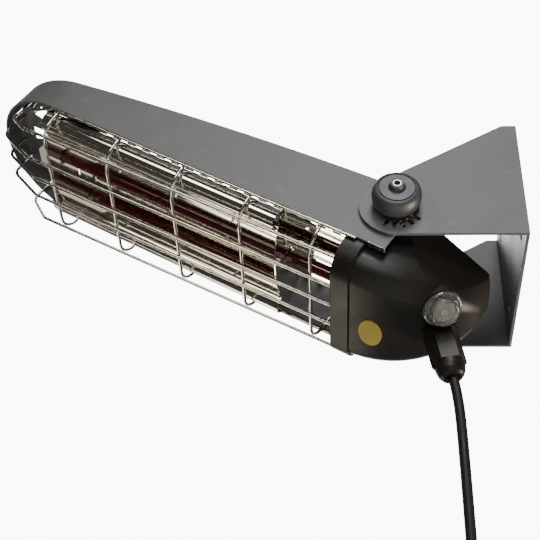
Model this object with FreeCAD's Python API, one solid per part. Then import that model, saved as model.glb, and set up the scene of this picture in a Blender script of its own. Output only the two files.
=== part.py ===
import FreeCAD, Part
import math
import os
from FreeCAD import Vector

# Wall-mounted halogen heater: a U bracket on the wall carries a tilting head.
# The row frame has +Z up, the wall at Y = 0 and its origin at the middle of the wall bolts.
# Head pieces are drawn in head axes (x across, u out along the head, w towards its back)
# about the tilt pivot, and are then turned by the resting tilt.

# General
overrun = 1.0
seat_gap = 0.02
arc_share = 0.45
head_tilt_deg = 30.6

# Wall bracket
bracket_sheet = 2.5
pivot_from_wall = 99.3
nose_r = 28.7
cheek_above_pivot = 89.3
cheek_shoulder = 11.7
bolt_spacing_x = 90.0
bolt_spacing_z = 80.0
bolt_hole_r = 3.5
index_count = 5
index_pitch_deg = 18.9
index_offset_deg = 13.3
index_slot_r = 22.8
index_slot_inner_r = 14.8
index_slot_width = 3.0

# Tilt clamps
bolt_r = 4.0
bolt_clear = 0.06
bolt_head_flats = 13.0
bolt_head_height = 5.0
bolt_end_below_top = 5.0
washer_r = 14.0
washer_thick = 1.23
knob_r = 19.2
knob_height = 20.5
knob_side_shares = (0.6, 0.6, 0.88, 0.965, 1.0, 0.985, 0.93, 0.85)
knob_level_shares = (0.0, 0.2, 0.22, 0.3, 0.57, 0.735, 0.89, 0.97)
knob_groove_r = 14.6
knob_groove_width = 0.9
knob_groove_depth = 1.0
knob_boss_r = 6.6
knob_boss_top_r = 5.0
knob_boss_height = 4.5
knob_gap = 0.3
insert_r = 6.0
insert_sink = 1.0
insert_top_room = 3.0
insert_neck_r = 3.4
insert_socket_r = 2.5

# Hood band
hood_half_width = 66.27
hood_sheet = 2.0
hood_near_u = -12.0
hood_round_u = 306.3
hood_front_w = -40.0
hood_back_near_w = 22.9
hood_back_mid_w = 13.3
hood_back_far_w = -15.0
hood_back_mid_share = 0.42
tab_length = 16.0
tab_width = 5.5

# Back panel inside the hood
panel_sheet = 1.5
panel_drop = 9.0
panel_near_u = 24.0
slot_width = 7.0
slot_pitch = 14.0
slot_end_room = 14.27
slot_first_u = 34.0
slot_stop = 16.0
keystone_count = 5
keystone_step_deg = 36.0
keystone_rim = 14.27
keystone_depth = 16.0
keystone_half_deg = 9.0

# Reflector
reflector_near_u = 80.0
reflector_past_round = 5.7
reflector_sheet = 0.8
web_w = -19.5
flank_run = 9.0
rim_w = -44.0
lip_r = 8.5
tongue_near_u = 26.0
end_plate_sheet = 1.0
end_plate_room = 4.27
rim_inset = 16.5
end_plate_front_w = -53.0
end_plate_side_w = -38.0
end_plate_back_w = -8.0
post_r = 3.0
post_gap = 0.4
post_bar_count = 4
plate_gap = 0.3

# Lamp
lamp_w = -33.0
lamp_r = 5.5
lamp_wall = 1.0
lamp_near_u = 30.0
lamp_end_out = 6.0
lamp_hole_r = 7.5
filament_r = 1.2
cap_length = 14.0
cap_r = 7.0
cap_gap = 0.1
holder_width = 20.0
holder_length = 12.0
holder_height = 24.0
holder_foot = 3.0

# Guard
wire_r = 1.4
hoop_count = 5
hoop_first_u = 42.6
hoop_last_room = 6.5
guard_near_w = -58.5
guard_far_w = -64.5
hoop_corner_r = 18.0
hoop_end_w = -28.0
wire_mouth_gap = 0.6
edge_wire_near_u = 12.0
inner_wire_xs = (0.0, 23.5)
outer_wire_angle_deg = 30.0
outer_corner_inset = 5.4
far_bend_past = 15.7
far_corner_room = 12.97
far_corner_w = -55.0
outer_corner_share = 0.54
edge_corner_past = 24.7
edge_corner_inset = 9.5
edge_corner_drop = 8.0
far_bend_r = 9.0
far_end_w = -26.0

# Rear housing: round-cornered sections that shrink to its back end
dome_side_room = 5.77
dome_half_w = 60.5
dome_w = -4.0
dome_depth = 101.0
dome_corner_r = 18.0
dome_corner_growth = 5.0
dome_curve_shares = (2.3, 1.7)
dome_section_shares = (0.16, 0.32, 0.47, 0.6, 0.71, 0.81, 0.89, 0.95, 0.985)
slope_step = 4.0
facet_side_inset = 21.8
facet_from_end = 28.4
facet_w = -16.5
facet_turn_deg = 29.0
facet_lean_deg = 11.1
mouth_u = 17.0
housing_top_w = 14.0
housing_wall = 2.5
collar_side_gap = 0.57
collar_front_proud = 1.4
collar_corner_r = 24.0
collar_top_w = -10.0
collar_near_u = 4.6
collar_far_u = 20.5
collar_gap = 0.05
cover_sheet = 2.5
bulkhead_u = 8.0
bulkhead_sheet = 1.5
bulkhead_gap = 0.3
lamp_window_r = 9.0
side_boss_u = 6.0
side_boss_w = -24.0
side_boss_r = 6.0
side_boss_sink = 2.7
side_screw_r = 1.6
side_screw_head_r = 3.2
side_screw_head_height = 1.4
side_screw_length = 10.0
side_screw_gap = 0.02
cover_screw_r = 1.5
cover_screw_head_r = 3.0
cover_screw_head_height = 1.8
cover_screw_length = 10.0
cover_post_r = 4.0
cover_post_depth = 16.0
cover_post_sink = 1.5
cover_screw_us = (-24.0, 2.0)

# Switch
switch_side_inset = 32.0
switch_from_end = 21.2
switch_seat_r = 15.9
switch_seat_proud = 1.5
switch_seat_depth = 7.0
switch_body_r = 10.5
switch_body_depth = 14.0
switch_gap = 0.1
switch_sink = 2.2
bezel_r = 15.5
bezel_bore_r = 9.8
bezel_height = 1.2
rocker_r = 8.6
rocker_thick = 4.0
rocker_rest_deg = -7.0
boot_height = 9.0
boot_step_height = 2.2
boot_top_r = 11.2
boot_wall = 1.0

# Badge
badge_x = -10.0
badge_from_mouth = 31.0
badge_half_long = 15.0
badge_half_wide = 9.6
badge_proud = 0.8
badge_sink = 0.6
badge_gap = 0.05

# Cable gland
gland_from_end = 21.3
gland_seat_r = 14.5
gland_seat_proud = 5.5
gland_seat_depth = 9.0
gland_flats = 24.0
gland_flange_height = 8.5
gland_thread_r = 8.0
gland_thread_out = 16.0
gland_thread_in = 14.0
gland_bore_r = 5.2
gland_nut_height = 20.0
gland_dome_height = 12.0
gland_dome_shares = (1.0, 0.97, 0.89, 0.76, 0.6)
gland_level_shares = (0.0, 0.3, 0.6, 0.84, 1.0)
gland_lip = 1.2
locknut_flats = 20.5
locknut_height = 4.0
thread_gap = 0.05
seal_gap = 0.05

# Terminal block and inner leads
block_length = 34.0
block_width = 18.0
block_height = 14.0
block_u = -22.0
lead_r = 1.2
lead_spacing = 5.0
lead_bend_r = 5.0
lead_spread_share = 0.7

# Supply cord, its coil and plug
cord_r = 4.0
cord_out = 14.0
cord_lean = 1.5
cord_bend_z = -190.0
cord_stop_share = 0.55
cord_turn_radius = 47.5
coil_center_z = -358.0
coil_inner_r = 35.0
coil_outer_r = 51.7
coil_near_x = -4.3
coil_far_x = 20.9
tail_x = -8.5
tail_turn_radius = 39.2
tail_length = 44.0
tie_width = 8.0
tie_thick = 1.2
tie_gap = 0.4
plug_r = 18.0
plug_neck_r = 6.0
plug_neck_length = 16.0
plug_body_length = 34.0
plug_pin_r = 2.4
plug_pin_length = 19.0
plug_pin_spacing = 19.0

# Worked-out places
cheek_height = nose_r + cheek_above_pivot
pivot_z = cheek_height / 2 - cheek_above_pivot
cheek_inner = hood_half_width + washer_thick
cheek_outer = cheek_inner + bracket_sheet
bracket_width = 2 * cheek_outer
hood_inner = hood_half_width - hood_sheet
slot_half_length = hood_inner - slot_end_room
slot_count = int((hood_round_u - slot_stop - slot_first_u) / slot_pitch)
keystone_outer_r = hood_inner - keystone_rim
keystone_inner_r = keystone_outer_r - keystone_depth
reflector_far_u = hood_round_u + reflector_past_round
end_plate_half = hood_inner - end_plate_room
rim_half = end_plate_half - rim_inset
web_half = rim_half - flank_run
post_bars = (post_bar_count, slot_count - 1)
lamp_far_u = reflector_far_u + lamp_end_out
hoop_pitch = (hood_round_u - hoop_last_room - hoop_first_u) / (hoop_count - 1)
far_bend_u = hood_round_u + far_bend_past
far_corner_u = hood_round_u + hood_inner - far_corner_room
outer_corner_u = hood_round_u + hood_inner * outer_corner_share
edge_corner_u = hood_round_u + edge_corner_past
dome_half_x = hood_inner - dome_side_room
dome_back_u = mouth_u - dome_depth
facet_x = dome_half_x - facet_side_inset
facet_u = dome_back_u + facet_from_end
collar_half = hood_inner - collar_side_gap
collar_front_w = dome_w - dome_half_w - collar_front_proud
wire_near_u = mouth_u + wire_mouth_gap
side_boss_root = dome_half_x - side_boss_sink
switch_x = dome_half_x - switch_side_inset
switch_u = dome_back_u + switch_from_end
badge_u = mouth_u - badge_from_mouth
gland_u = dome_back_u + gland_from_end
X_AXIS = Vector(1, 0, 0)
Y_AXIS = Vector(0, 1, 0)
Z_AXIS = Vector(0, 0, 1)


def at(x, u, w):
    """A point of the head, in head axes."""
    return Vector(x, -u, w)


def on_head(shape):
    """Turns a piece drawn in head axes to its resting tilt at the pivot."""
    placed = shape.copy()
    placed.rotate(Vector(0, 0, 0), X_AXIS, -head_tilt_deg)
    placed.translate(Vector(0, -pivot_from_wall, pivot_z))
    return placed


def write(name, shape):
    shape.exportStep(os.path.join("parts", name + ".step"))


def box(low, high):
    size = high - low
    return Part.makeBox(size.x, size.y, size.z, low)


def head_box(xs, us, ws):
    return box(Vector(xs[0], -us[1], ws[0]), Vector(xs[1], -us[0], ws[1]))


def rod(start, end, radius):
    along = end - start
    return Part.makeCylinder(radius, along.Length, start, along)


def pipe(start, end, radius, bore):
    return rod(start, end, radius).cut(rod(start, end, bore))


def prism(points, along):
    return Part.Face(Part.makePolygon(points + points[:1])).extrude(along)


def hexagon(flats, height, start, along):
    """A hexagonal prism from start along a direction, with the distance over its flats."""
    corner = flats / math.sqrt(3)
    angles = [(k + 1 / 2) * math.pi / 3 for k in range(6)]
    ring = [Vector(corner * math.cos(a), corner * math.sin(a), 0) for a in angles]
    shape = prism(ring, Vector(0, 0, height))
    shape.Placement = facing(start, along)
    return shape


def facing(point, normal):
    """A placement that carries +Z to the normal at a point."""
    return FreeCAD.Placement(point, FreeCAD.Rotation(Z_AXIS, normal))


def turned(profile):
    """A solid of revolution about +Z from (radius, height) points."""
    face = Part.Face(Part.makePolygon([Vector(r, 0, z) for r, z in profile + profile[:1]]))
    return face.revolve(Vector(0, 0, 0), Z_AXIS, 360)


def bent_path(points, radius=None):
    """Straight runs joined by tangent arcs; each arc is as large as its runs allow unless given."""
    edges = []
    radii = []
    start = points[0]
    for before, corner, after in zip(points, points[1:], points[2:]):
        into = (corner - before).normalize()
        out = (after - corner).normalize()
        half_turn = into.getAngle(out) / 2
        run = min((corner - before).Length, (after - corner).Length)
        size = radius or arc_share * run / math.tan(half_turn)
        reach = size * math.tan(half_turn)
        first = corner - into * reach
        last = corner + out * reach
        inward = (out - into).normalize()
        middle = corner + inward * (size / math.cos(half_turn) - size)
        edges.append(Part.LineSegment(start, first).toShape())
        edges.append(Part.Arc(first, middle, last).toShape())
        radii.append(size)
        start = last
    edges.append(Part.LineSegment(start, points[-1]).toShape())
    return Part.Wire(edges), radii


def bent_rod(points, thickness_r, bend_r=None):
    path, radii = bent_path(points, bend_r)
    section = Part.Wire(Part.makeCircle(thickness_r, points[0], points[1] - points[0]))
    return path.makePipeShell([section], True, False), path.Length, radii


def dome_scale(reach_share):
    """Share of the mouth's section that is left at a share of the way to the back end."""
    return (1 - reach_share ** dome_curve_shares[0]) ** (1 / dome_curve_shares[1])


def dome_front(x, u):
    """Level of the housing's heat-side surface."""
    reach_share = (mouth_u - u) / dome_depth
    scale = dome_scale(reach_share)
    corner = (dome_corner_r + dome_corner_growth * reach_share) * scale
    past_flat = max(abs(x) - dome_half_x * scale + corner, 0)
    return dome_w - dome_half_w * scale + corner - math.sqrt(corner ** 2 - min(past_flat, corner) ** 2)


def dome_point(x, u):
    """The housing's outer surface on the heat side, with its mean outward direction there."""
    step = slope_step
    slope_x = (dome_front(x + step, u) - dome_front(x - step, u)) / (2 * step)
    slope_u = (dome_front(x, u + step) - dome_front(x, u - step)) / (2 * step)
    return at(x, u, dome_front(x, u)), at(slope_x, slope_u, -1).normalize()


def rounded_section(u, half, high, low, corner):
    """A rectangle with round corners across the head, between two levels."""
    edges = []
    ends = []
    for quarter in range(4):
        angles = [math.pi / 2 * (quarter + part / 2) for part in range(3)]
        sign_x = 1 if quarter in (0, 3) else -1
        middle = at(sign_x * (half - corner), u, high - corner if quarter < 2 else low + corner)
        arc = [middle + at(corner * math.cos(a), 0, corner * math.sin(a)) for a in angles]
        edges.append(Part.Arc(arc[0], arc[1], arc[2]).toShape())
        ends.append((arc[0], arc[2]))
        if quarter:
            edges.insert(-1, Part.LineSegment(ends[-2][1], arc[0]).toShape())
    edges.append(Part.LineSegment(ends[-1][1], ends[0][0]).toShape())
    return Part.Wire(edges)


def facet_direction(side):
    """Outward direction of the flat on a rear shoulder of the housing."""
    turn = math.radians(facet_turn_deg)
    lean = math.radians(facet_lean_deg)
    return at(side * math.cos(lean) * math.cos(turn), -math.cos(lean) * math.sin(turn), math.sin(lean))


def facet_side(u, w, inset):
    """How far the flat lies from the head's middle plane, drawn in by an inset."""
    normal = facet_direction(1)
    across = normal.dot(at(0, facet_u - u, facet_w - w)) - inset
    return facet_x + across / normal.x


def facet_cutter(side, inset):
    """All that lies outside the flat on one shoulder."""
    reach = dome_depth * 2
    block = box(Vector(-reach, -reach, 0), Vector(reach, reach, reach))
    normal = facet_direction(side)
    block.Placement = facing(at(side * facet_x, facet_u, facet_w) - normal * inset, normal)
    return block


def dome(inset):
    """The housing's rounded form with a flat on each rear shoulder, drawn in by an inset."""
    depth = dome_depth - inset
    half = dome_half_x - inset
    rise = dome_half_w - inset
    wires = []
    for u in (collar_far_u + overrun, mouth_u):
        wires.append(rounded_section(u, half, dome_w + rise, dome_w - rise, dome_corner_r - inset))
    for share in dome_section_shares:
        scale = dome_scale(share)
        corner = (dome_corner_r + dome_corner_growth * share - inset) * scale
        high = dome_w + rise * scale
        wires.append(rounded_section(
            mouth_u - depth * share, half * scale, high, high - 2 * rise * scale, corner))
    shape = Part.makeLoft(wires, True, False)
    for side in (-1, 1):
        shape = shape.cut(facet_cutter(side, inset))
    return shape


def slab_u(near, far):
    reach = dome_depth * 2
    return head_box((-reach, reach), (near, far), (-reach, reach))


def slab_w(low, high):
    reach = dome_depth * 2
    return head_box((-reach, reach), (-reach, reach), (low, high))


def wall_bracket():
    """Bent sheet: a back plate on the wall and two cheeks whose nose goes round the pivot."""
    top = pivot_z + cheek_above_pivot
    low = pivot_z - nose_r
    shoulder = Vector(0, -cheek_shoulder, top)
    pivot = Vector(0, -pivot_from_wall, pivot_z)
    reach = (shoulder - pivot).Length
    lean = math.atan2(shoulder.z - pivot.z, shoulder.y - pivot.y)
    tangent_angle = lean + math.acos(nose_r / reach)

    def on_nose(angle):
        return pivot + Vector(0, nose_r * math.cos(angle), nose_r * math.sin(angle))

    touch = on_nose(tangent_angle)
    bottom_angle = 1.5 * math.pi
    nose_middle = on_nose((tangent_angle + bottom_angle) / 2)
    bottom = on_nose(bottom_angle)
    corners = [bottom, Vector(0, 0, low), Vector(0, 0, top), shoulder, touch]
    edges = [Part.LineSegment(a, b).toShape() for a, b in zip(corners, corners[1:])]
    edges.append(Part.Arc(touch, nose_middle, bottom).toShape())
    cheek_face = Part.Face(Part.Wire(edges))
    shape = box(Vector(-cheek_outer, -bracket_sheet, low), Vector(cheek_outer, 0, top))
    for side in (-1, 1):
        cheek = cheek_face.extrude(Vector(bracket_sheet, 0, 0))
        cheek.translate(Vector(cheek_inner if side > 0 else -cheek_outer, 0, 0))
        shape = shape.fuse(cheek)
    across = Vector(-cheek_outer - overrun, -pivot_from_wall, pivot_z)
    shape = shape.cut(Part.makeCylinder(bolt_r + bolt_clear, bracket_width + 2 * overrun, across, X_AXIS))
    for step in range(index_count):
        angle = index_offset_deg + index_pitch_deg * (step - (index_count - 1) / 2)
        slot = box(
            Vector(-cheek_outer - overrun, -index_slot_width / 2, -index_slot_r),
            Vector(cheek_outer + overrun, index_slot_width / 2, -index_slot_inner_r),
        )
        slot.rotate(Vector(0, 0, 0), X_AXIS, angle)
        slot.translate(Vector(0, -pivot_from_wall, pivot_z))
        shape = shape.cut(slot)
    for side in (-1, 1):
        for level in (-1, 1):
            start = Vector(side * bolt_spacing_x / 2, -bracket_sheet - overrun, level * bolt_spacing_z / 2)
            shape = shape.cut(Part.makeCylinder(bolt_hole_r, bracket_sheet + 2 * overrun, start, Y_AXIS))
    return shape.removeSplitter()


def clamp_bolt(side):
    """Hexagon bolt from inside the hood leg out through the washer and cheek into the knob."""
    root = hood_inner - seat_gap
    end = cheek_outer + knob_height - bolt_end_below_top
    head = hexagon(bolt_head_flats, bolt_head_height, at(side * (root - bolt_head_height), 0, 0), X_AXIS * side)
    return head.fuse(rod(at(side * root, 0, 0), at(side * end, 0, 0), bolt_r))


def friction_washer(side):
    start = at(side * (hood_half_width + seat_gap), 0, 0)
    return pipe(start, at(side * (cheek_inner - seat_gap), 0, 0), washer_r, bolt_r + bolt_clear)


def knob_insert(side):
    """Threaded insert with a slim socket neck that shows in the knob's boss."""
    start = cheek_outer + knob_gap + insert_sink
    end = cheek_outer + knob_height - insert_top_room
    top = cheek_outer + knob_height + knob_boss_height
    body = rod(at(side * start, 0, 0), at(side * end, 0, 0), insert_r)
    body = body.fuse(rod(at(side * end, 0, 0), at(side * top, 0, 0), insert_neck_r))
    body = body.cut(rod(at(side * start, 0, 0), at(side * (end - insert_sink), 0, 0), bolt_r + bolt_clear))
    return body.cut(rod(at(side * (end - insert_sink), 0, 0), at(side * top, 0, 0), insert_socket_r))


def knob(side):
    """Round knob with a bulged side, a groove in its flat top and a small tapered boss."""
    top = knob_height
    inner_top = knob_height - insert_top_room
    profile = [(insert_r, knob_gap + insert_sink), (bolt_r + bolt_clear, knob_gap + insert_sink)]
    profile += [(bolt_r + bolt_clear, knob_gap)]
    for share, level in zip(knob_side_shares, knob_level_shares):
        profile.append((knob_r * share, knob_gap + (top - knob_gap) * level))
    groove_in = knob_groove_r - knob_groove_width
    profile += [(knob_groove_r, top), (knob_groove_r, top - knob_groove_depth)]
    profile += [(groove_in, top - knob_groove_depth), (groove_in, top), (knob_boss_r, top)]
    profile += [(knob_boss_top_r, top + knob_boss_height), (insert_neck_r, top + knob_boss_height)]
    profile += [(insert_neck_r, inner_top), (insert_r, inner_top)]
    shape = turned(profile)
    shape.Placement = facing(at(side * cheek_outer, 0, 0), X_AXIS * side)
    return shape


def hood_loop(half, low, high):
    """The hood's long round-ended outline as a solid between two levels."""
    legs = head_box((-half, half), (hood_near_u, hood_round_u), (low, high))
    end = Part.makeCylinder(half, high - low, at(0, hood_round_u, low), Z_AXIS)
    return legs.fuse(end)


def hood_back_cut():
    """Everything behind the hood's gently curved back edge."""
    far = hood_round_u + hood_half_width
    span = far - hood_near_u
    near_point = at(0, hood_near_u, hood_back_near_w)
    mid_point = at(0, hood_near_u + span * hood_back_mid_share, hood_back_mid_w)
    far_point = at(0, far, hood_back_far_w)
    high = hood_back_near_w + overrun
    edges = [Part.Arc(near_point, mid_point, far_point).toShape()]
    corners = [far_point, at(0, far, high), at(0, hood_near_u, high), near_point]
    edges += [Part.LineSegment(a, b).toShape() for a, b in zip(corners, corners[1:])]
    face = Part.Face(Part.Wire(edges))
    face.translate(Vector(-hood_half_width - overrun, 0, 0))
    return face.extrude(Vector(2 * hood_half_width + 2 * overrun, 0, 0))


def hood_band(back_cut):
    """One bent strip: two legs, a round far end and a small tab at each near end."""
    outer = hood_loop(hood_half_width, hood_front_w, hood_back_near_w)
    inner = hood_loop(hood_inner, hood_front_w - overrun, hood_back_near_w + overrun)
    near_end = head_box(
        (-hood_inner, hood_inner), (hood_near_u - overrun, hood_round_u), (hood_front_w, hood_back_near_w)
    )
    shape = outer.cut(inner).cut(near_end).cut(back_cut)
    for side in (-1, 1):
        xs = sorted((side * hood_half_width, side * (hood_half_width - tab_width)))
        tab = head_box(xs, (hood_near_u, hood_near_u + tab_length), (hood_front_w, hood_front_w + hood_sheet))
        shape = shape.fuse(tab)
        screw_start = at(side * (hood_inner - overrun), side_boss_u, side_boss_w)
        screw_end = at(side * (hood_half_width + overrun), side_boss_u, side_boss_w)
        shape = shape.cut(rod(screw_start, screw_end, side_screw_r + side_screw_gap))
        head_start = at(side * (hood_half_width - side_screw_head_height), side_boss_u, side_boss_w)
        shape = shape.cut(rod(head_start, screw_end, side_screw_head_r + side_screw_gap))
    reach = hood_half_width + overrun
    shape = shape.cut(rod(at(-reach, 0, 0), at(reach, 0, 0), bolt_r + bolt_clear))
    return shape.removeSplitter()


def back_panel(back_cut):
    """Slotted sheet that closes the hood's back and follows its curve."""
    half = hood_inner - seat_gap
    lowered = back_cut.copy()
    lowered.translate(Vector(0, 0, -panel_drop))
    under = back_cut.copy()
    under.translate(Vector(0, 0, -panel_drop - panel_sheet))
    region = hood_loop(half, hood_back_far_w - panel_drop - panel_sheet - overrun, hood_back_near_w)
    near = head_box(
        (-half - overrun, half + overrun), (hood_near_u - overrun, panel_near_u), (hood_front_w, hood_back_near_w)
    )
    shape = region.common(under).cut(lowered).cut(near)
    depth = (hood_front_w, hood_back_near_w + overrun)
    for step in range(slot_count):
        u = slot_first_u + step * slot_pitch
        shape = shape.cut(head_box((-slot_half_length, slot_half_length), (u, u + slot_width), depth))
    for step in range(keystone_count):
        middle = math.radians(keystone_step_deg * (step - (keystone_count - 1) / 2))
        half_angle = math.radians(keystone_half_deg)
        corners = []
        for radius, angle in (
            (keystone_inner_r, middle - half_angle), (keystone_outer_r, middle - half_angle),
            (keystone_outer_r, middle + half_angle), (keystone_inner_r, middle + half_angle),
        ):
            corners.append(at(radius * math.sin(angle), hood_round_u + radius * math.cos(angle), depth[0]))
        shape = shape.cut(prism(corners, Vector(0, 0, depth[1] - depth[0])))
    return shape.removeSplitter()


def panel_face_w(u):
    """Level of the back panel's heat-side face on the head's centre line."""
    far = hood_round_u + hood_half_width
    mid = hood_near_u + (far - hood_near_u) * hood_back_mid_share
    rise = hood_back_near_w * (u - mid) * (u - far) / ((hood_near_u - mid) * (hood_near_u - far))
    rise += hood_back_mid_w * (u - hood_near_u) * (u - far) / ((mid - hood_near_u) * (mid - far))
    rise += hood_back_far_w * (u - hood_near_u) * (u - mid) / ((far - hood_near_u) * (far - mid))
    return rise - panel_drop - panel_sheet


def reflector():
    """Polished trough with rolled rims, and a flat tongue that runs on under the lamp."""
    length = reflector_far_u - reflector_near_u
    outer = [(-rim_half, rim_w), (-web_half, web_w), (web_half, web_w), (rim_half, rim_w)]
    inner = [(x - math.copysign(reflector_sheet, x), w - reflector_sheet) for x, w in reversed(outer)]
    section = [at(x, reflector_near_u, w) for x, w in outer + inner]
    shape = prism(section, at(0, length, 0))
    tongue_us = (tongue_near_u, reflector_near_u)
    shape = shape.fuse(head_box((-web_half, web_half), tongue_us, (web_w - reflector_sheet, web_w)))
    for side in (-1, 1):
        center = side * (rim_half - reflector_sheet + lip_r)
        start = at(center, reflector_near_u, rim_w)
        lip = pipe(start, at(center, reflector_far_u, rim_w), lip_r, lip_r - reflector_sheet)
        upper = head_box(
            sorted((center - side * (lip_r + overrun), center)),
            (reflector_near_u - overrun, reflector_far_u + overrun), (rim_w, rim_w + lip_r + overrun)
        )
        shape = shape.fuse(lip.cut(upper))
    return shape.removeSplitter()


def end_plate(u, back_w):
    """Polished end plate with an arched front edge, a hole for the lamp and a slit for the web."""
    left = at(-end_plate_half, u, end_plate_side_w)
    right = at(end_plate_half, u, end_plate_side_w)
    edges = [Part.Arc(left, at(0, u, end_plate_front_w), right).toShape()]
    corners = [right, at(web_half, u, back_w), at(-web_half, u, back_w), left]
    edges += [Part.LineSegment(a, b).toShape() for a, b in zip(corners, corners[1:])]
    shape = Part.Face(Part.Wire(edges)).extrude(at(0, end_plate_sheet, 0))
    through = (u - overrun, u + end_plate_sheet + overrun)
    slit_half = web_half + plate_gap
    slit = head_box((-slit_half, slit_half), through, (web_w - reflector_sheet - plate_gap, web_w + plate_gap))
    return shape.cut(slit).cut(rod(at(0, through[0], lamp_w), at(0, through[1], lamp_w), lamp_hole_r))


def reflector_posts():
    """Posts that carry the reflector on the back panel."""
    posts = []
    for bar in post_bars:
        u = slot_first_u + bar * slot_pitch - (slot_pitch - slot_width) / 2
        posts.append(rod(at(0, u, web_w + seat_gap), at(0, u, panel_face_w(u) - post_gap), post_r))
    return Part.makeCompound(posts)


def lamp_parts():
    """Glass tube, filament and the two ceramic end caps."""
    tube = pipe(at(0, lamp_near_u, lamp_w), at(0, lamp_far_u, lamp_w), lamp_r, lamp_r - lamp_wall)
    filament = rod(at(0, lamp_near_u, lamp_w), at(0, lamp_far_u, lamp_w), filament_r)
    caps = []
    for u, along in ((lamp_near_u, -1), (lamp_far_u, 1)):
        caps.append(rod(at(0, u, lamp_w), at(0, u + along * cap_length, lamp_w), cap_r))
    return tube, filament, Part.makeCompound(caps)


def lamp_holder(u, foot_u, foot_w):
    """Ceramic saddle round a lamp cap, with a foot to the piece that carries it."""
    low = lamp_w - holder_height / 2
    body = head_box((-holder_width / 2, holder_width / 2), (u, u + holder_length), (low, low + holder_height))
    foot = head_box(
        (-holder_width / 2, holder_width / 2), (foot_u, foot_u + holder_foot), (low + holder_height, foot_w)
    )
    bore = rod(at(0, u - overrun, lamp_w), at(0, u + holder_length + overrun, lamp_w), cap_r + cap_gap)
    return body.fuse(foot).cut(bore)


def guard_w(u):
    """Level of the hoops' centre line across the guard's front."""
    span = hoop_pitch * (hoop_count - 1)
    return guard_near_w + (guard_far_w - guard_near_w) * (u - hoop_first_u) / span


def guard_hoops():
    half = hood_inner - wire_r - seat_gap
    hoops = []
    for step in range(hoop_count):
        u = hoop_first_u + step * hoop_pitch
        front = guard_w(u)
        points = [at(half, u, hoop_end_w), at(half, u, front), at(-half, u, front), at(-half, u, hoop_end_w)]
        hoops.append(bent_rod(points, wire_r, hoop_corner_r)[0])
    return Part.makeCompound(hoops)


def guard_wires():
    """Wires along the head, outside the hoops, that turn back into the hood at its far end."""
    wires = []
    lift = 2 * wire_r + seat_gap
    for x in (-inner_wire_xs[1], inner_wire_xs[0], inner_wire_xs[1]):
        points = [
            at(x, wire_near_u, guard_w(wire_near_u) - lift), at(x, far_bend_u, guard_w(far_bend_u) - lift)]
        points += [at(x, far_corner_u, far_corner_w), at(x, far_corner_u, far_end_w)]
        wires.append(bent_rod(points, wire_r, far_bend_r)[0])
    angle = math.radians(outer_wire_angle_deg)
    arm = hoop_corner_r + lift
    corner_x = hood_inner - wire_r - seat_gap - hoop_corner_r
    for side in (-1, 1):
        x = side * (corner_x + arm * math.sin(angle))
        rise = hoop_corner_r - arm * math.cos(angle)
        outer_near_u = collar_far_u + wire_mouth_gap
        points = [at(x, outer_near_u, guard_w(outer_near_u) + rise)]
        points += [at(x, far_bend_u, guard_w(far_bend_u) + rise)]
        outer_x = x - side * outer_corner_inset
        points += [at(outer_x, outer_corner_u, far_corner_w), at(outer_x, outer_corner_u, far_end_w)]
        wires.append(bent_rod(points, wire_r, far_bend_r)[0])
        edge_x = side * (hood_inner - wire_r + lift - seat_gap)
        edge_w = hood_front_w - wire_r - seat_gap
        inner_x = side * (hood_half_width - edge_corner_inset)
        points = [at(edge_x, edge_wire_near_u, edge_w), at(edge_x, hood_round_u, edge_w)]
        points += [at(inner_x, edge_corner_u, edge_w - edge_corner_drop), at(inner_x, edge_corner_u, far_end_w)]
        wires.append(bent_rod(points, wire_r, far_bend_r)[0])
    return Part.makeCompound(wires)


def cover_post_x(u):
    """Place of a cover post, sunk a little into the housing's wall or flat beside it."""
    wall_x = dome_half_x * dome_scale((mouth_u - u) / dome_depth) - housing_wall - cover_post_r
    flat_x = facet_side(u, housing_top_w, housing_wall + cover_post_r)
    return min(wall_x, flat_x) + cover_post_sink


def seat(point, normal, radius, proud, depth):
    """A round boss that stands on the housing's curve, square to it."""
    return rod(point - normal * depth, point + normal * proud, radius)


def switch_place():
    """Where the switch sits, sunk a little into the housing's curve, and its outward direction."""
    point, normal = dome_point(switch_x, switch_u)
    return point - normal * switch_sink, normal


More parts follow.
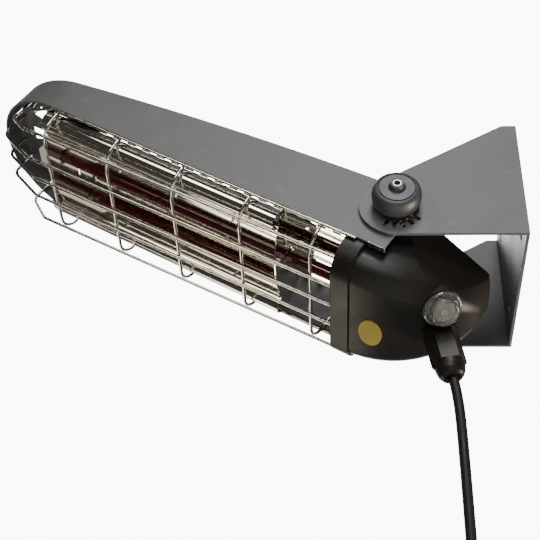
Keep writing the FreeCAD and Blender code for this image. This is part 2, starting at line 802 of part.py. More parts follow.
def rear_housing():
    """Hollow rounded shell with seats for switch and gland, side bosses and cover posts."""
    shell = dome(0).common(slab_w(-2 * dome_depth, housing_top_w)).cut(slab_u(mouth_u, 2 * dome_depth))
    hollow = dome(housing_wall)
    point, normal = switch_place()
    solid_seats = seat(point, normal, switch_seat_r, switch_seat_proud, switch_seat_depth)
    gland_point, gland_normal = dome_point(0, gland_u)
    solid_seats = solid_seats.fuse(
        seat(gland_point, gland_normal, gland_seat_r, gland_seat_proud, gland_seat_depth)
    )
    shape = shell.cut(hollow).fuse(solid_seats)
    seat_face = point + normal * switch_seat_proud
    shape = shape.cut(rod(seat_face, seat_face + normal * switch_seat_depth, switch_seat_r))
    for side in (-1, 1):
        root = at(side * side_boss_root, side_boss_u, side_boss_w)
        shape = shape.fuse(rod(root, at(side * (hood_inner - seat_gap), side_boss_u, side_boss_w), side_boss_r))
        for u in cover_screw_us:
            low = at(side * cover_post_x(u), u, housing_top_w - cover_post_depth)
            shape = shape.fuse(rod(low, at(side * cover_post_x(u), u, housing_top_w), cover_post_r))
    bore = switch_body_r + switch_gap
    shape = shape.cut(rod(point - normal * switch_body_depth, point + normal * 2 * switch_seat_proud, bore))
    bore = gland_thread_r + thread_gap
    gland_start = gland_point - gland_normal * gland_thread_in
    shape = shape.cut(rod(gland_start, gland_point + gland_normal * 2 * gland_seat_proud, bore))
    for side in (-1, 1):
        tip = at(side * (hood_half_width - side_screw_length), side_boss_u, side_boss_w)
        shape = shape.cut(rod(
            tip, at(side * hood_half_width, side_boss_u, side_boss_w), side_screw_r + side_screw_gap))
        for u in cover_screw_us:
            tip = at(side * cover_post_x(u), u, housing_top_w + cover_sheet - cover_screw_length)
            end = at(side * cover_post_x(u), u, housing_top_w + overrun)
            shape = shape.cut(rod(tip, end, cover_screw_r + side_screw_gap))
    badge_at, badge_normal = dome_point(badge_x, badge_u)
    return shape.cut(badge_form(badge_at, badge_normal, badge_gap, overrun)).removeSplitter()


def badge_form(point, normal, grow, proud):
    """An oval plate let into the housing."""
    ellipse = Part.Ellipse(Vector(0, 0, 0), badge_half_long + grow, badge_half_wide + grow)
    face = Part.Face(Part.Wire(ellipse.toShape()))
    form = face.extrude(Vector(0, 0, badge_sink + grow + proud))
    form.translate(Vector(0, 0, -badge_sink - grow))
    form.Placement = facing(point, normal).multiply(form.Placement)
    return form


def side_screws():
    screws = []
    for side in (-1, 1):
        outer = at(side * hood_half_width, side_boss_u, side_boss_w)
        under = at(side * (hood_half_width - side_screw_head_height), side_boss_u, side_boss_w)
        tip = at(side * (hood_half_width - side_screw_length), side_boss_u, side_boss_w)
        screws.append(rod(outer, under, side_screw_head_r).fuse(rod(under, tip, side_screw_r)))
    return Part.makeCompound(screws)


def housing_cover():
    """Flat lid on the housing's top edge."""
    shape = dome(0).common(slab_w(housing_top_w, housing_top_w + cover_sheet))
    shape = shape.cut(slab_u(mouth_u, 2 * dome_depth))
    for side in (-1, 1):
        for u in cover_screw_us:
            start = at(side * cover_post_x(u), u, housing_top_w - overrun)
            end = at(side * cover_post_x(u), u, housing_top_w + cover_sheet + overrun)
            shape = shape.cut(rod(start, end, cover_screw_r + side_screw_gap))
    return shape


def cover_screws():
    screws = []
    for side in (-1, 1):
        for u in cover_screw_us:
            x = side * cover_post_x(u)
            top = housing_top_w + cover_sheet
            shank = rod(at(x, u, top), at(x, u, top - cover_screw_length), cover_screw_r)
            head = rod(at(x, u, top), at(x, u, top + cover_screw_head_height), cover_screw_head_r)
            screws.append(shank.fuse(head))
    return Part.makeCompound(screws)


def housing_collar():
    """Band round the housing's mouth, stepped out beside it."""
    outline = rounded_section(collar_near_u, collar_half, -collar_front_w, collar_front_w, collar_corner_r)
    ring = Part.Face(outline).extrude(at(0, collar_far_u - collar_near_u, 0)).cut(dome(-collar_gap))
    ring = ring.common(slab_w(-2 * dome_depth, collar_top_w))
    reach = hood_half_width
    boss_line = (at(-reach, side_boss_u, side_boss_w), at(reach, side_boss_u, side_boss_w))
    return ring.cut(rod(boss_line[0], boss_line[1], side_boss_r + bulkhead_gap))


def bulkhead():
    """Sheet across the housing's mouth, with a hole for the lamp."""
    sheet = dome(housing_wall + bulkhead_gap).common(slab_u(bulkhead_u, bulkhead_u + bulkhead_sheet))
    sheet = sheet.common(slab_w(-2 * dome_depth, housing_top_w - bulkhead_gap))
    start = at(0, bulkhead_u - overrun, lamp_w)
    return sheet.cut(rod(start, at(0, bulkhead_u + bulkhead_sheet + overrun, lamp_w), lamp_window_r))


def switch_parts():
    """Switch body, bezel, rocker and clear boot, square to the housing at the switch."""
    seat_top = switch_seat_proud
    bezel_top = seat_top + bezel_height
    body = Part.makeCylinder(switch_body_r, switch_body_depth + seat_top, Vector(0, 0, -switch_body_depth))
    bezel = turned([
        (bezel_bore_r, seat_top), (bezel_r, seat_top), (bezel_r, bezel_top), (bezel_bore_r, bezel_top)])
    rocker_low = seat_top + rocker_thick / 2
    rocker = Part.makeCylinder(rocker_r, rocker_thick, Vector(0, 0, rocker_low))
    pivot = Vector(0, 0, rocker_low + rocker_thick / 2)
    rocker.rotate(pivot, X_AXIS, rocker_rest_deg)
    top = bezel_top + boot_height
    step = bezel_top + boot_step_height
    boot = turned([
        (bezel_r, bezel_top), (bezel_r, step - boot_wall), (bezel_r - boot_wall, step), (boot_top_r, step),
        (boot_top_r, top - boot_wall), (boot_top_r - boot_wall, top), (0, top), (0, top - boot_wall),
        (boot_top_r - boot_wall, top - boot_wall), (boot_top_r - boot_wall, step - boot_wall),
        (bezel_r - boot_wall, step - boot_wall), (bezel_r - boot_wall, bezel_top),
    ])
    point, normal = switch_place()
    place = facing(point, normal)
    for shape in (body, bezel, rocker, boot):
        shape.Placement = place.multiply(shape.Placement)
    centre = place.multVec(pivot)
    axis = place.Rotation.multVec(X_AXIS)
    return body, bezel, rocker, boot, centre, axis


def gland_parts():
    """Cable gland: threaded body, domed nut, inner seal and locknut."""
    point, normal = dome_point(0, gland_u)
    base = gland_seat_proud
    shoulder = base + gland_flange_height
    tip = shoulder + gland_thread_out
    body = hexagon(gland_flats, gland_flange_height, Vector(0, 0, base), Z_AXIS)
    body = body.fuse(Part.makeCylinder(gland_thread_r, tip + gland_thread_in, Vector(0, 0, -gland_thread_in)))
    body = body.cut(Part.makeCylinder(
        gland_bore_r, 2 * (tip + gland_thread_in), Vector(0, 0, -2 * gland_thread_in)))
    nut_low = shoulder + seat_gap
    nut_top = nut_low + gland_nut_height
    dome_top = nut_top + gland_dome_height
    nut = hexagon(gland_flats, gland_nut_height, Vector(0, 0, nut_low), Z_AXIS)
    profile = [(0, nut_top)]
    for share, level in zip(gland_dome_shares, gland_level_shares):
        profile.append((gland_flats / 2 * share, nut_top + gland_dome_height * level))
    cap = turned(profile + [(0, dome_top)])
    nut = nut.fuse(cap)
    thread_bore = gland_thread_r + thread_gap
    nut = nut.cut(Part.makeCylinder(thread_bore, tip - nut_low + seat_gap + gland_lip, Vector(0, 0, nut_low)))
    nut = nut.cut(Part.makeCylinder(gland_bore_r, 2 * dome_top, Vector(0, 0, nut_low)))
    seal_r = gland_bore_r - seal_gap
    seal_length = dome_top - gland_lip - (tip - gland_lip)
    seal = Part.makeCylinder(seal_r, seal_length, Vector(0, 0, tip - gland_lip))
    seal = seal.cut(Part.makeCylinder(cord_r + seal_gap, 2 * dome_top, Vector(0, 0, 0)))
    locknut_top = -gland_seat_depth - seat_gap
    locknut = hexagon(locknut_flats, locknut_height, Vector(0, 0, locknut_top - locknut_height), Z_AXIS)
    locknut = locknut.cut(Part.makeCylinder(
        thread_bore, 2 * gland_thread_in, Vector(0, 0, -2 * gland_thread_in)))
    place = facing(point, normal)
    for shape in (body, nut, seal, locknut):
        shape.Placement = place.multiply(shape.Placement)
    return body, nut, seal, locknut, point + normal * (dome_top - gland_lip), normal


def terminal_parts():
    """Terminal block under the cover, and the three leads from the gland to it."""
    top = housing_top_w - seat_gap
    low = top - block_height
    block = head_box((-block_length / 2, block_length / 2), (block_u, block_u + block_width), (low, top))
    point, normal = dome_point(0, gland_u)
    start = point - normal * gland_thread_in
    leads = []
    for step in (-1, 0, 1):
        shift = Vector(step * lead_spacing, 0, 0)
        squeeze = Vector(step * (gland_bore_r - lead_r) * lead_spread_share, 0, 0)
        end = at(0, block_u - seat_gap, low + block_height / 2) + shift
        inside = start - normal * 2 * lead_bend_r
        before = at(0, block_u - 2 * lead_bend_r, low + block_height / 2) + shift
        leads.append(bent_rod([start + squeeze, inside + squeeze, before, end], lead_r, lead_bend_r)[0])
    return block, Part.makeCompound(leads)


def cord_parts(exit_point, exit_along):
    """Supply cord from the gland, its put-away coil with tie, its tail and plug, in the row frame."""
    hang_y = exit_point.y + exit_along.y * cord_out + cord_lean
    route = [
        exit_point,
        exit_point + exit_along * cord_out,
        Vector(0, hang_y, cord_bend_z),
        Vector(0, hang_y, coil_center_z + coil_outer_r * cord_stop_share),
    ]
    cord, length, radii = bent_rod(route, cord_r)
    print("cord route", [tuple(round(v, 3) for v in p) for p in route], "radii", radii, "length", length)
    print("cord volume over section times length", cord.Volume / (math.pi * cord_r ** 2 * length))
    entry_y = route[-1].y
    centre = Vector(coil_near_x, entry_y - cord_turn_radius, coil_center_z)
    ring = pipe(centre, centre + Vector(coil_far_x - coil_near_x, 0, 0), coil_outer_r, coil_inner_r)
    tie_inner = box(
        Vector(tail_x - cord_r - tie_gap, centre.y - tie_width, coil_center_z + coil_inner_r - 2 * tie_gap),
        Vector(coil_far_x + tie_gap, centre.y + tie_width, coil_center_z + coil_outer_r + tie_gap),
    )
    grow = tie_gap + tie_thick
    tie_outer = box(
        Vector(tail_x - cord_r - grow, centre.y - tie_width / 2, coil_center_z + coil_inner_r - tie_gap - grow),
        Vector(coil_far_x + grow, centre.y + tie_width / 2, coil_center_z + coil_outer_r + grow),
    )
    tail_start = Vector(tail_x, centre.y + tail_turn_radius, coil_center_z)
    tail_end = tail_start - Vector(0, 0, tail_length)
    tail = rod(tail_start, tail_end, cord_r)
    neck = plug_neck_length
    plug = turned([
        (0, 0), (plug_neck_r, 0), (plug_neck_r, neck / 2), (plug_r, neck + neck / 2),
        (plug_r, neck + plug_body_length), (0, neck + plug_body_length),
    ])
    plug.Placement = facing(tail_end, -Z_AXIS)
    pins = []
    face_z = tail_end.z - neck - plug_body_length
    for side in (-1, 1):
        start = Vector(tail_end.x + side * plug_pin_spacing / 2, tail_end.y, face_z)
        pins.append(rod(start, start - Vector(0, 0, plug_pin_length), plug_pin_r))
    return cord, ring, tie_outer.cut(tie_inner), tail, plug, Part.makeCompound(pins)


os.makedirs("parts", exist_ok=True)
back_cut = hood_back_cut()
write("wall_bracket", wall_bracket())
for side_name, side in (("left", -1), ("right", 1)):
    write("clamp_bolt_" + side_name, on_head(clamp_bolt(side)))
    write("friction_washer_" + side_name, on_head(friction_washer(side)))
    write("knob_insert_" + side_name, on_head(knob_insert(side)))
    write("clamp_knob_" + side_name, on_head(knob(side)))
write("hood_band", on_head(hood_band(back_cut)))
write("back_panel", on_head(back_panel(back_cut)))
write("reflector", on_head(reflector()))
write("reflector_end_near", on_head(end_plate(reflector_near_u - end_plate_sheet - seat_gap, end_plate_back_w)))
far_plate_back_w = panel_face_w(reflector_far_u + end_plate_sheet) - plate_gap
write("reflector_end_far", on_head(end_plate(reflector_far_u + seat_gap, far_plate_back_w)))
write("reflector_posts", on_head(reflector_posts()))
tube, filament, caps = lamp_parts()
write("lamp_tube", on_head(tube))
write("lamp_filament", on_head(filament))
write("lamp_caps", on_head(caps))
near_holder_u = lamp_near_u - holder_length
write("lamp_holder_near", on_head(lamp_holder(near_holder_u, near_holder_u, web_w)))
far_foot_w = panel_face_w(lamp_far_u + holder_length) - 2 * seat_gap
write("lamp_holder_far", on_head(lamp_holder(lamp_far_u, lamp_far_u + holder_length - holder_foot, far_foot_w)))
write("guard_hoops", on_head(guard_hoops()))
write("guard_wires", on_head(guard_wires()))
write("rear_housing", on_head(rear_housing()))
write("housing_cover", on_head(housing_cover()))
write("cover_screws", on_head(cover_screws()))
write("side_screws", on_head(side_screws()))
write("housing_collar", on_head(housing_collar()))
write("bulkhead", on_head(bulkhead()))
badge_at, badge_normal = dome_point(badge_x, badge_u)
write("oval_badge", on_head(badge_form(badge_at, badge_normal, 0, badge_proud)))
switch_body, bezel, rocker, boot, rocker_centre, rocker_axis = switch_parts()
write("switch_body", on_head(switch_body))
write("switch_bezel", on_head(bezel))
write("switch_rocker", on_head(rocker))
write("switch_boot", on_head(boot))
gland_body, gland_nut, gland_seal, locknut, gland_end, gland_along = gland_parts()
write("gland_body", on_head(gland_body))
write("gland_nut", on_head(gland_nut))
write("gland_seal", on_head(gland_seal))
write("gland_locknut", on_head(locknut))
block, leads = terminal_parts()
write("terminal_block", on_head(block))
write("inner_leads", on_head(leads))
turn = FreeCAD.Rotation(X_AXIS, -head_tilt_deg)
pivot_point = Vector(0, -pivot_from_wall, pivot_z)
cord, ring, tie, tail, plug, pins = cord_parts(turn.multVec(gland_end) + pivot_point, turn.multVec(gland_along))
write("supply_cord", cord)
write("cord_coil", ring)
write("cord_tie", tie)
write("cord_tail", tail)
write("plug_body", plug)
write("plug_pins", pins)
print("rocker centre", turn.multVec(rocker_centre) + pivot_point, "axis", turn.multVec(rocker_axis))
print("pivot", pivot_point)
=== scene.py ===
import math
import bmesh
import bpy
from mathutils import Matrix, Vector


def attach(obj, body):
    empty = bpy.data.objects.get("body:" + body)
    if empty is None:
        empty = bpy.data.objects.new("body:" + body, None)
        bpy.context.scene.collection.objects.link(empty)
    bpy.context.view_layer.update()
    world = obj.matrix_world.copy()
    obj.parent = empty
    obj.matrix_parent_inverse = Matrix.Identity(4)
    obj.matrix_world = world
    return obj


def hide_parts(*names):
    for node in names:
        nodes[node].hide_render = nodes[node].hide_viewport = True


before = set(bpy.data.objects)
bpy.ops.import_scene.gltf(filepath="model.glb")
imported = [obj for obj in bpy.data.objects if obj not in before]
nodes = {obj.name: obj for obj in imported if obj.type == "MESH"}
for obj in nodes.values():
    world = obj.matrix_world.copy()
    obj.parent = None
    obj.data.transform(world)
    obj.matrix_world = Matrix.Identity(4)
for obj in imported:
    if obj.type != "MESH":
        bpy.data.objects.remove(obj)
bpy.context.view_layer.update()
scene = bpy.context.scene

# Places on the head: x across, u outward, w towards the back, in millimetres from the tilt pivot
TILT = math.radians(30.6)
PIVOT_Y = -99.3
PIVOT_Z = -30.3
MM = 0.001

# Camera at the photograph's angle
CAMERA_RIGHT = (-0.03931, 0.99874, 0.03120)
CAMERA_UP = (0.65654, 0.00228, 0.75429)
CAMERA_BACK = (0.75327, 0.05013, -0.65580)
CAMERA_AT = (0.77939, -0.14690, -0.71282)
CAMERA_SENSOR = 36
CAMERA_LENS = 85.15
CAMERA_CLIP = 0.01

# Finishes: dark tone, light tone, metallic, roughness range, scale of the patches,
# scale of the grain, strength and depth of the grain
FINISHES = {
    "black_coat": ((0.070, 0.070, 0.071), (0.084, 0.084, 0.086), 0, (0.50, 0.62), 30, 1400, (0.45, 0.0003)),
    "polished_metal": ((0.80, 0.76, 0.68), (0.92, 0.89, 0.82), 1, (0.03, 0.07), 30, 900, (0.008, 0.0002)),
    "zinc_steel": ((0.30, 0.30, 0.29), (0.42, 0.42, 0.40), 1, (0.34, 0.5), 120, 900, (0.15, 0.0003)),
    "ruby_glass": (
        (0.075, 0.0012, 0.0035), (0.115, 0.0022, 0.0055), 0, (0.02, 0.06), 40, 300, (0.02, 0.0002)),
    "tungsten": ((0.22, 0.21, 0.20), (0.34, 0.33, 0.32), 1, (0.35, 0.5), 300, 2500, (0.2, 0.0002)),
    "ceramic": ((0.70, 0.66, 0.58), (0.84, 0.80, 0.72), 0, (0.5, 0.7), 90, 1500, (0.3, 0.0003)),
    "chrome_wire": ((0.52, 0.49, 0.44), (0.74, 0.71, 0.66), 1, (0.12, 0.24), 160, 1100, (0.12, 0.0002)),
    "black_plastic": (
        (0.0065, 0.0053, 0.0042), (0.0105, 0.0086, 0.0068), 0, (0.38, 0.48), 30, 2000, (0.12, 0.0002)),
    "knob_plastic": (
        (0.027, 0.027, 0.028), (0.038, 0.038, 0.039), 0, (0.42, 0.54), 70, 2000, (0.15, 0.0002)),
    "switch_cap": ((0.12, 0.108, 0.095), (0.16, 0.145, 0.128), 0, (0.26, 0.38), 120, 1500, (0.08, 0.0002)),
    "clear_boot": ((0.93, 0.93, 0.91), (0.99, 0.99, 0.97), 0, (0.0, 0.015), 60, 300, (0.001, 0.0002)),
    "yellow_badge": ((0.30, 0.205, 0.004), (0.36, 0.245, 0.007), 0, (0.30, 0.42), 60, 1500, (0.08, 0.0002)),
    "black_rubber": (
        (0.005, 0.0048, 0.0044), (0.009, 0.0087, 0.0080), 0, (0.48, 0.64), 60, 1600, (0.3, 0.0003)),
    "white_plastic": ((0.66, 0.66, 0.62), (0.76, 0.76, 0.72), 0, (0.35, 0.5), 70, 1500, (0.1, 0.0002)),
    "lead_sheath": ((0.22, 0.08, 0.05), (0.32, 0.12, 0.07), 0, (0.4, 0.6), 90, 1500, (0.2, 0.0002)),
    "plug_brass": ((0.58, 0.52, 0.38), (0.74, 0.68, 0.52), 1, (0.2, 0.36), 140, 1200, (0.12, 0.0002)),
    "fibre": ((0.09, 0.07, 0.05), (0.15, 0.12, 0.09), 0, (0.6, 0.8), 200, 1800, (0.3, 0.0003)),
}
FLOOR_FINISH = ((0.80, 0.80, 0.79), (0.84, 0.84, 0.83), 0, (0.7, 0.8), 3, 60, (0.02, 0.001))

# Brushed finishes are drawn out along the head
EVEN = (1, 1, 1)
STRETCHES = {"polished_metal": (1, 0.05, 1)}

# Scuffs: tone, stretch, scale, level where they start, strength
SCUFFS = {
    "black_coat": ((0.15, 0.15, 0.152), (3, 14, 30), 5.0, 0.64, 0.22),
    "black_plastic": ((0.034, 0.030, 0.026), (10, 40, 20), 7.0, 0.68, 0.25),
}
SCUFF_TURN = (0.5, 0.2, 0.4)
SCUFF_FADE = 0.06

SHADER_VALUES = {
    "ruby_glass": {"Transmission Weight": 0.4, "IOR": 1.46, "Coat Weight": 0.6, "Coat Roughness": 0.03},
    "black_plastic": {"Specular IOR Level": 0.22},
    "clear_boot": {"Transmission Weight": 0.97, "IOR": 1.41},
    "yellow_badge": {"Coat Weight": 0.4},
    "black_rubber": {"Specular IOR Level": 0.25},
}

# Noise values between these two cover the whole of a finish's range
NOISE_LOW = 0.3
NOISE_HIGH = 0.7

# Detail and roughness of each noise
PATCH_NOISE = (4.0, 0.6)
GRAIN_NOISE = (2.0, 0.6)
SCUFF_NOISE = (3.0, 0.55)

SLOT_NODES = {
    "black_coat": ["wall_bracket", "hood_band", "back_panel"],
    "polished_metal": ["reflector", "reflector_end_near", "reflector_end_far"],
    "zinc_steel": [
        "clamp_bolt_left", "clamp_bolt_right", "knob_insert_left", "knob_insert_right", "reflector_posts",
        "side_screws", "cover_screws", "bulkhead"],
    "ruby_glass": ["lamp_tube"],
    "tungsten": ["lamp_filament"],
    "ceramic": ["lamp_caps", "lamp_holder_near", "lamp_holder_far"],
    "chrome_wire": ["guard_hoops", "guard_wires"],
    "black_plastic": [
        "rear_housing", "housing_cover", "housing_collar", "gland_body", "gland_nut", "gland_locknut",
        "switch_body", "switch_bezel"],
    "knob_plastic": ["clamp_knob_left", "clamp_knob_right"],
    "switch_cap": ["switch_rocker"],
    "clear_boot": ["switch_boot"],
    "yellow_badge": ["oval_badge"],
    "black_rubber": ["gland_seal", "supply_cord", "cord_coil", "cord_tail", "plug_body", "cord_tie"],
    "white_plastic": ["terminal_block"],
    "lead_sheath": ["inner_leads"],
    "plug_brass": ["plug_pins"],
    "fibre": ["friction_washer_left", "friction_washer_right"],
}

# Broken edges, in metres
SHEET_EDGE = 0.0006
KNOB_EDGE = 0.0010
BOOT_EDGE = 0.0005
EDGE_STEPS = 3
EDGE_ANGLE = math.radians(35)
FLAT_ANGLE = math.radians(0.5)
SAME_POINT = 1e-6

# Supply cord, in metres: its route down from the gland, the middle of the put-away turns and the tail's end
CORD_D = 0.008
route = [
    (0, -0.058115, -0.141069), (0, -0.055696, -0.154858), (0, -0.054196, -0.190), (0, -0.054196, -0.329565)]
COIL_Y = -0.101696
COIL_Z = -0.358
TAIL_END = (-0.0085, -0.062496, -0.402)

# Each turn's place across and its radius, in millimetres,
# and where on the turn it crosses to the next, in degrees
TURN_PLACES = [(0, 47.5), (8.3, 47.5), (16.6, 47.5), (16.6, 39.2), (8.3, 39.2), (0, 39.2), (-8.5, 39.2)]
POINTS_PER_TURN = 24
CROSS_FIRST = 20
CROSS_STEP = 55
CROSS_SPAN = 50

# Filament, in millimetres on the head, and its wire's radius in metres
FILAMENT_NEAR = 31
FILAMENT_FAR = 317
FILAMENT_W = -33
FILAMENT_R = 0.95
FILAMENT_WINDS = 120
POINTS_PER_WIND = 10
FILAMENT_WIRE_R = 0.0002

# Painted highlight: chrome plates on the faces of the hood's folded tabs, in millimetres on the head
TAB_INNER_X = 60.9
TAB_OUTER_X = 66.1
TAB_NEAR_U = -11.9
TAB_FAR_U = 3.9
TAB_FACES_W = (-40.06, -39.6)

# Ring mark on the rocker's face
RING_R = 0.0017
RING_T = 0.00026
RING_STEPS = 32
RING_SIDES = 8
ROCKER_FACE_AT = (27.7395, -63.9683, -101.1489)
ROCKER_FACE_OUT = (0.19273, 0.19269, -0.96215)

# Floor, and the studio's tones from the sides round to the bright backdrop
FLOOR_HALF_X = 1.6
FLOOR_FRONT_Y = -1.9
FLOOR_BACK_Y = 1.3
FLOOR_Z = -2.2
BACKDROP_WAY = (-0.753, -0.050, 0.656)
BACKDROP_TONES = [
    (0.0, (0.045, 0.043, 0.040)), (0.5, (0.085, 0.083, 0.079)), (0.86, (0.35, 0.35, 0.35)),
    (0.945, (10, 10, 10))]


def on_head(x, u, w):
    """A point of the head at rest, in metres in the part's frame."""
    y = PIVOT_Y - u * math.cos(TILT) + w * math.sin(TILT)
    z = PIVOT_Z + u * math.sin(TILT) + w * math.cos(TILT)
    return Vector((x, y, z)) * MM


def smooth(f):
    """A soft step from 0 to 1."""
    f = min(max(f, 0.0), 1.0)
    return f * f * (3 - 2 * f)


def add(name, data):
    """An object in the scene with this data."""
    obj = bpy.data.objects.new(name, data)
    scene.collection.objects.link(obj)
    return obj


def ramp(tree, source, stops):
    """A colour that follows a value through these stops."""
    node = tree.nodes.new("ShaderNodeValToRGB")
    tree.links.new(source, node.inputs["Fac"])
    band = node.color_ramp
    for element, (position, color) in zip(band.elements, (stops[0], stops[-1])):
        element.position = position
        element.color = (*color, 1)
    for position, color in stops[1:-1]:
        band.elements.new(position).color = (*color, 1)
    return node.outputs["Color"]


def noise(tree, vector, scale, detail, rough):
    """A noise value at this scale."""
    node = tree.nodes.new("ShaderNodeTexNoise")
    node.inputs["Scale"].default_value = scale
    node.inputs["Detail"].default_value = detail
    node.inputs["Roughness"].default_value = rough
    tree.links.new(vector, node.inputs["Vector"])
    return node.outputs["Fac"]


def mapped(tree, stretch, turn=(0, 0, 0)):
    """Object coordinates, turned and stretched."""
    coords = tree.nodes.new("ShaderNodeTexCoord")
    node = tree.nodes.new("ShaderNodeMapping")
    node.inputs["Scale"].default_value = stretch
    node.inputs["Rotation"].default_value = turn
    tree.links.new(coords.outputs["Object"], node.inputs["Vector"])
    return node.outputs["Vector"]


def span(tree, source, low, high):
    """A noise value spread over a range."""
    node = tree.nodes.new("ShaderNodeMapRange")
    node.inputs["From Min"].default_value = NOISE_LOW
    node.inputs["From Max"].default_value = NOISE_HIGH
    node.inputs["To Min"].default_value = low
    node.inputs["To Max"].default_value = high
    tree.links.new(source, node.inputs["Value"])
    return node.outputs["Result"]


def scuffed(tree, color, tone, stretch, scale, start, strength):
    """The colour with scuffs of another tone over it."""
    marks = noise(tree, mapped(tree, stretch, SCUFF_TURN), scale, *SCUFF_NOISE)
    amount = ramp(tree, marks, [(start, (0, 0, 0)), (start + SCUFF_FADE, (strength,) * 3)])
    mix = tree.nodes.new("ShaderNodeMix")
    mix.data_type = "RGBA"
    tree.links.new(amount, mix.inputs["Factor"])
    tree.links.new(color, mix.inputs["A"])
    mix.inputs["B"].default_value = (*tone, 1)
    return mix.outputs["Result"]


def make(name, dark, light, metallic, rough, patch, grain, bump):
    """A finish: two tones in soft patches, roughness that varies with them, and a fine grain."""
    mat = bpy.data.materials.new(name)
    mat.use_nodes = True
    tree = mat.node_tree
    shader = tree.nodes["Principled BSDF"]
    shader.inputs["Metallic"].default_value = metallic
    stretch = STRETCHES.get(name, EVEN)
    plain = mapped(tree, EVEN)
    drawn = mapped(tree, stretch, (-TILT, 0, 0))
    tone = noise(tree, drawn, patch, *PATCH_NOISE)
    color = ramp(tree, tone, [(NOISE_LOW, dark), (NOISE_HIGH, light)])
    if name in SCUFFS:
        color = scuffed(tree, color, *SCUFFS[name])
    tree.links.new(color, shader.inputs["Base Color"])
    tree.links.new(span(tree, tone, *rough), shader.inputs["Roughness"])
    node = tree.nodes.new("ShaderNodeBump")
    node.inputs["Strength"].default_value = bump[0]
    node.inputs["Distance"].default_value = bump[1]
    grain_coords = plain if stretch == EVEN else drawn
    tree.links.new(noise(tree, grain_coords, grain, *GRAIN_NOISE), node.inputs["Height"])
    tree.links.new(node.outputs["Normal"], shader.inputs["Normal"])
    for socket, value in SHADER_VALUES.get(name, {}).items():
        shader.inputs[socket].default_value = value
    return mat


def dress(obj, body, slot_name, *replaced):
    """The object with its finish, riding its body, in place of the solids it stands for."""
    obj.data.materials.clear()
    obj.data.materials.append(finish[slot_name])
    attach(obj, body)
    if replaced:
        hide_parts(*replaced)
    return obj


def softened(node, body, slot_name, width):
    """The node's own shape with its sharp edges broken, as moulded and coated edges are."""
    mesh = nodes[node].data.copy()
    shape = bmesh.new()
    shape.from_mesh(mesh)
    bmesh.ops.remove_doubles(shape, verts=shape.verts, dist=SAME_POINT)
    bmesh.ops.dissolve_limit(shape, angle_limit=FLAT_ANGLE, verts=shape.verts, edges=shape.edges)
    shape.to_mesh(mesh)
    shape.free()
    if "custom_normal" in mesh.attributes:
        mesh.attributes.remove(mesh.attributes["custom_normal"])
    mesh.polygons.foreach_set("use_smooth", [True] * len(mesh.polygons))
    obj = add(node + "_soft", mesh)
    bevel = obj.modifiers.new("edges", "BEVEL")
    bevel.width = width
    bevel.segments = EDGE_STEPS
    bevel.limit_method = "ANGLE"
    bevel.angle_limit = EDGE_ANGLE
    even = obj.modifiers.new("even", "WEIGHTED_NORMAL")
    even.weight = 100
    return dress(obj, body, slot_name, node)


def coil_points():
    """The put-away turns, each crossing to the next at its own place."""
    turns = len(TURN_PLACES) - 1
    places = []
    for step in range(turns * POINTS_PER_TURN + 1):
        turn = min(step // POINTS_PER_TURN, turns - 1)
        degrees = 360.0 * (step - turn * POINTS_PER_TURN) / POINTS_PER_TURN
        moved = smooth((degrees - (CROSS_FIRST + CROSS_STEP * (turns - 1 - turn))) / CROSS_SPAN)
        (x, radius), (next_x, next_radius) = TURN_PLACES[turn:turn + 2]
        x += moved * (next_x - x)
        radius += moved * (next_radius - radius)
        angle = math.radians(degrees)
        y = COIL_Y + radius * MM * math.cos(angle)
        z = COIL_Z - radius * MM * math.sin(angle)
        places.append((x * MM, y, z))
    return places


def ring_mesh():
    """A thin ring lying on the rocker's face."""
    face_at = Vector(ROCKER_FACE_AT) * MM
    face_out = Vector(ROCKER_FACE_OUT)
    side_a = face_out.orthogonal().normalized()
    side_b = face_out.cross(side_a)
    verts = []
    faces = []
    for step in range(RING_STEPS):
        angle = 2 * math.pi * step / RING_STEPS
        radial = side_a * math.cos(angle) + side_b * math.sin(angle)
        here = step * RING_SIDES
        there = (step + 1) % RING_STEPS * RING_SIDES
        for part in range(RING_SIDES):
            roll = 2 * math.pi * part / RING_SIDES
            out = radial * (RING_R + RING_T * math.cos(roll))
            verts.append(tuple(face_at + out + face_out * RING_T * math.sin(roll)))
            after = (part + 1) % RING_SIDES
            faces.append((here + part, there + part, there + after, here + after))
    mesh = bpy.data.meshes.new("rocker_mark")
    mesh.from_pydata(verts, [], faces)
    mesh.polygons.foreach_set("use_smooth", [True] * len(mesh.polygons))
    return mesh


def lamp(name, spot, aim, size, power, spread, color=(1, 1, 1)):
    """A round soft light at a spot, aimed at a point of the heater."""
    data = bpy.data.lights.new(name, "AREA")
    data.shape = "DISK"
    data.size = size
    data.energy = power
    data.spread = math.radians(spread)
    data.color = color
    obj = add(name, data)
    obj.location = spot
    obj.rotation_euler = (Vector(aim) - Vector(spot)).to_track_quat("-Z", "Y").to_euler()


# Camera
camera = add("camera", bpy.data.cameras.new("camera"))
place = Matrix((CAMERA_RIGHT, CAMERA_UP, CAMERA_BACK)).transposed().to_4x4()
place.translation = Vector(CAMERA_AT)
camera.matrix_world = place
camera.data.sensor_width = CAMERA_SENSOR
camera.data.lens = CAMERA_LENS
camera.data.clip_start = CAMERA_CLIP
scene.camera = camera

# Finishes on the nodes
finish = {name: make(name, *values) for name, values in FINISHES.items()}
for slot_name, names in SLOT_NODES.items():
    for name in names:
        holder = nodes[name]
        if not holder.material_slots:
            holder.data.materials.append(finish[slot_name])
        for slot in holder.material_slots:
            slot.material = finish[slot_name]

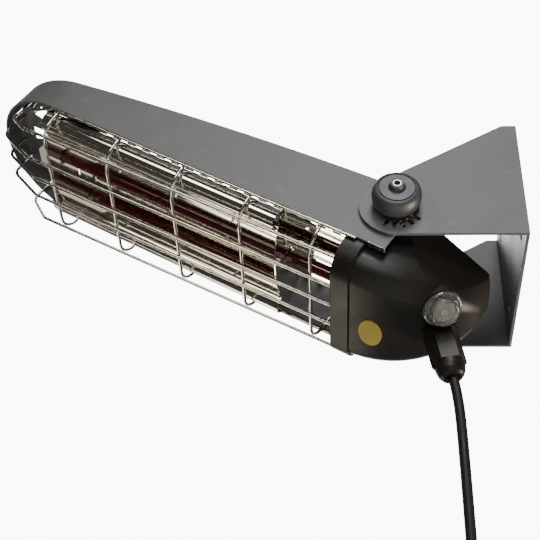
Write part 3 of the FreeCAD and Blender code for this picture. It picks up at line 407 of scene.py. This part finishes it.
# Supply cord: the route's points, then the put-away turns, then the tail to the plug
points = route + coil_points() + [TAIL_END]
line = bpy.data.curves.new("supply_lead", "CURVE")
line.dimensions = "3D"
spline = line.splines.new("NURBS")
spline.points.add(len(points) - 1)
for knot, co in zip(spline.points, points):
    knot.co = (*co, 1)
spline.order_u = 3
spline.use_endpoint_u = True
spline.resolution_u = 4
line.bevel_depth = CORD_D / 2
line.bevel_resolution = 5
line.use_fill_caps = True
lead = dress(add("supply_lead", line), "head", "black_rubber", "supply_cord", "cord_coil", "cord_tail")

# Broken edges on the coated sheet and the mouldings
softened("wall_bracket", "bracket", "black_coat", SHEET_EDGE)
softened("hood_band", "head", "black_coat", SHEET_EDGE)
softened("clamp_knob_left", "knob_left", "knob_plastic", KNOB_EDGE)
softened("clamp_knob_right", "knob_right", "knob_plastic", KNOB_EDGE)
softened("switch_boot", "head", "clear_boot", BOOT_EDGE)

# Wound filament in the tube, in place of the plain rod
wound = bpy.data.curves.new("filament_coil", "CURVE")
wound.dimensions = "3D"
strand = wound.splines.new("POLY")
strand_steps = FILAMENT_WINDS * POINTS_PER_WIND
strand.points.add(strand_steps)
for step, spot in enumerate(strand.points):
    angle = step / POINTS_PER_WIND * 2 * math.pi
    along = FILAMENT_NEAR + (FILAMENT_FAR - FILAMENT_NEAR) * step / strand_steps
    across = FILAMENT_R * math.cos(angle)
    spot.co = (*on_head(across, along, FILAMENT_W + FILAMENT_R * math.sin(angle)), 1)
wound.bevel_depth = FILAMENT_WIRE_R
wound.bevel_resolution = 1
dress(add("filament_coil", wound), "head", "tungsten", "lamp_filament")

# Painted highlight: chrome plates laid on the faces of the hood's folded tabs, standing in for the light
# they catch
tab_corners = [
    (TAB_INNER_X, TAB_NEAR_U), (TAB_OUTER_X, TAB_NEAR_U), (TAB_OUTER_X, TAB_FAR_U), (TAB_INNER_X, TAB_FAR_U)]
box_faces = [(0, 1, 2, 3), (7, 6, 5, 4), (0, 4, 5, 1), (1, 5, 6, 2), (2, 6, 7, 3), (3, 7, 4, 0)]
for side, label in ((1, "right"), (-1, "left")):
    spots = [tuple(on_head(side * x, u, w)) for w in TAB_FACES_W for x, u in tab_corners]
    plate = bpy.data.meshes.new("tab_highlight_" + label)
    plate.from_pydata(spots, [], box_faces)
    dress(add("tab_highlight_" + label, plate), "head", "chrome_wire")

# Ring mark on the rocker
dress(add("rocker_mark", ring_mesh()), "rocker", "white_plastic")

# Stage and light
floor_mesh = bpy.data.meshes.new("floor")
floor_corners = [
    (-FLOOR_HALF_X, FLOOR_FRONT_Y, FLOOR_Z), (FLOOR_HALF_X, FLOOR_FRONT_Y, FLOOR_Z),
    (FLOOR_HALF_X, FLOOR_BACK_Y, FLOOR_Z), (-FLOOR_HALF_X, FLOOR_BACK_Y, FLOOR_Z)]
floor_mesh.from_pydata(floor_corners, [], [(0, 1, 2, 3)])
floor = add("floor", floor_mesh)
floor.data.materials.append(make("floor", *FLOOR_FINISH))

world = bpy.data.worlds.new("studio")
scene.world = world
world.use_nodes = True
sky = world.node_tree
toward = sky.nodes.new("ShaderNodeTexCoord")
lean = sky.nodes.new("ShaderNodeVectorMath")
lean.operation = "DOT_PRODUCT"
lean.inputs[1].default_value = BACKDROP_WAY
sky.links.new(toward.outputs["Generated"], lean.inputs[0])
backdrop = ramp(sky, lean.outputs["Value"], BACKDROP_TONES)
sky.links.new(backdrop, sky.nodes["Background"].inputs["Color"])
sky.nodes["Background"].inputs["Strength"].default_value = 1.0

# Lights: place, aim, size, power, spread in degrees, colour
lamp("key", (1.15, -0.02, 0.62), (0, -0.12, -0.02), 0.5, 2.5, 70)
lamp("fill", (1.40, -0.12, -0.10), (0, -0.14, -0.02), 0.7, 1.5, 60)
lamp("side", (-0.30, 0.95, -0.62), (0, -0.06, -0.06), 0.5, 3, 60, (1.0, 0.88, 0.74))
lamp("cream", (-0.90, -1.0, -0.28), (0, -0.38, 0.10), 1.3, 0.7, 20, (1.0, 0.90, 0.72))
lamp("flank", (1.15, -0.90, -0.04), (0, -0.28, 0.03), 0.5, 0.13, 24, (1.0, 0.92, 0.78))
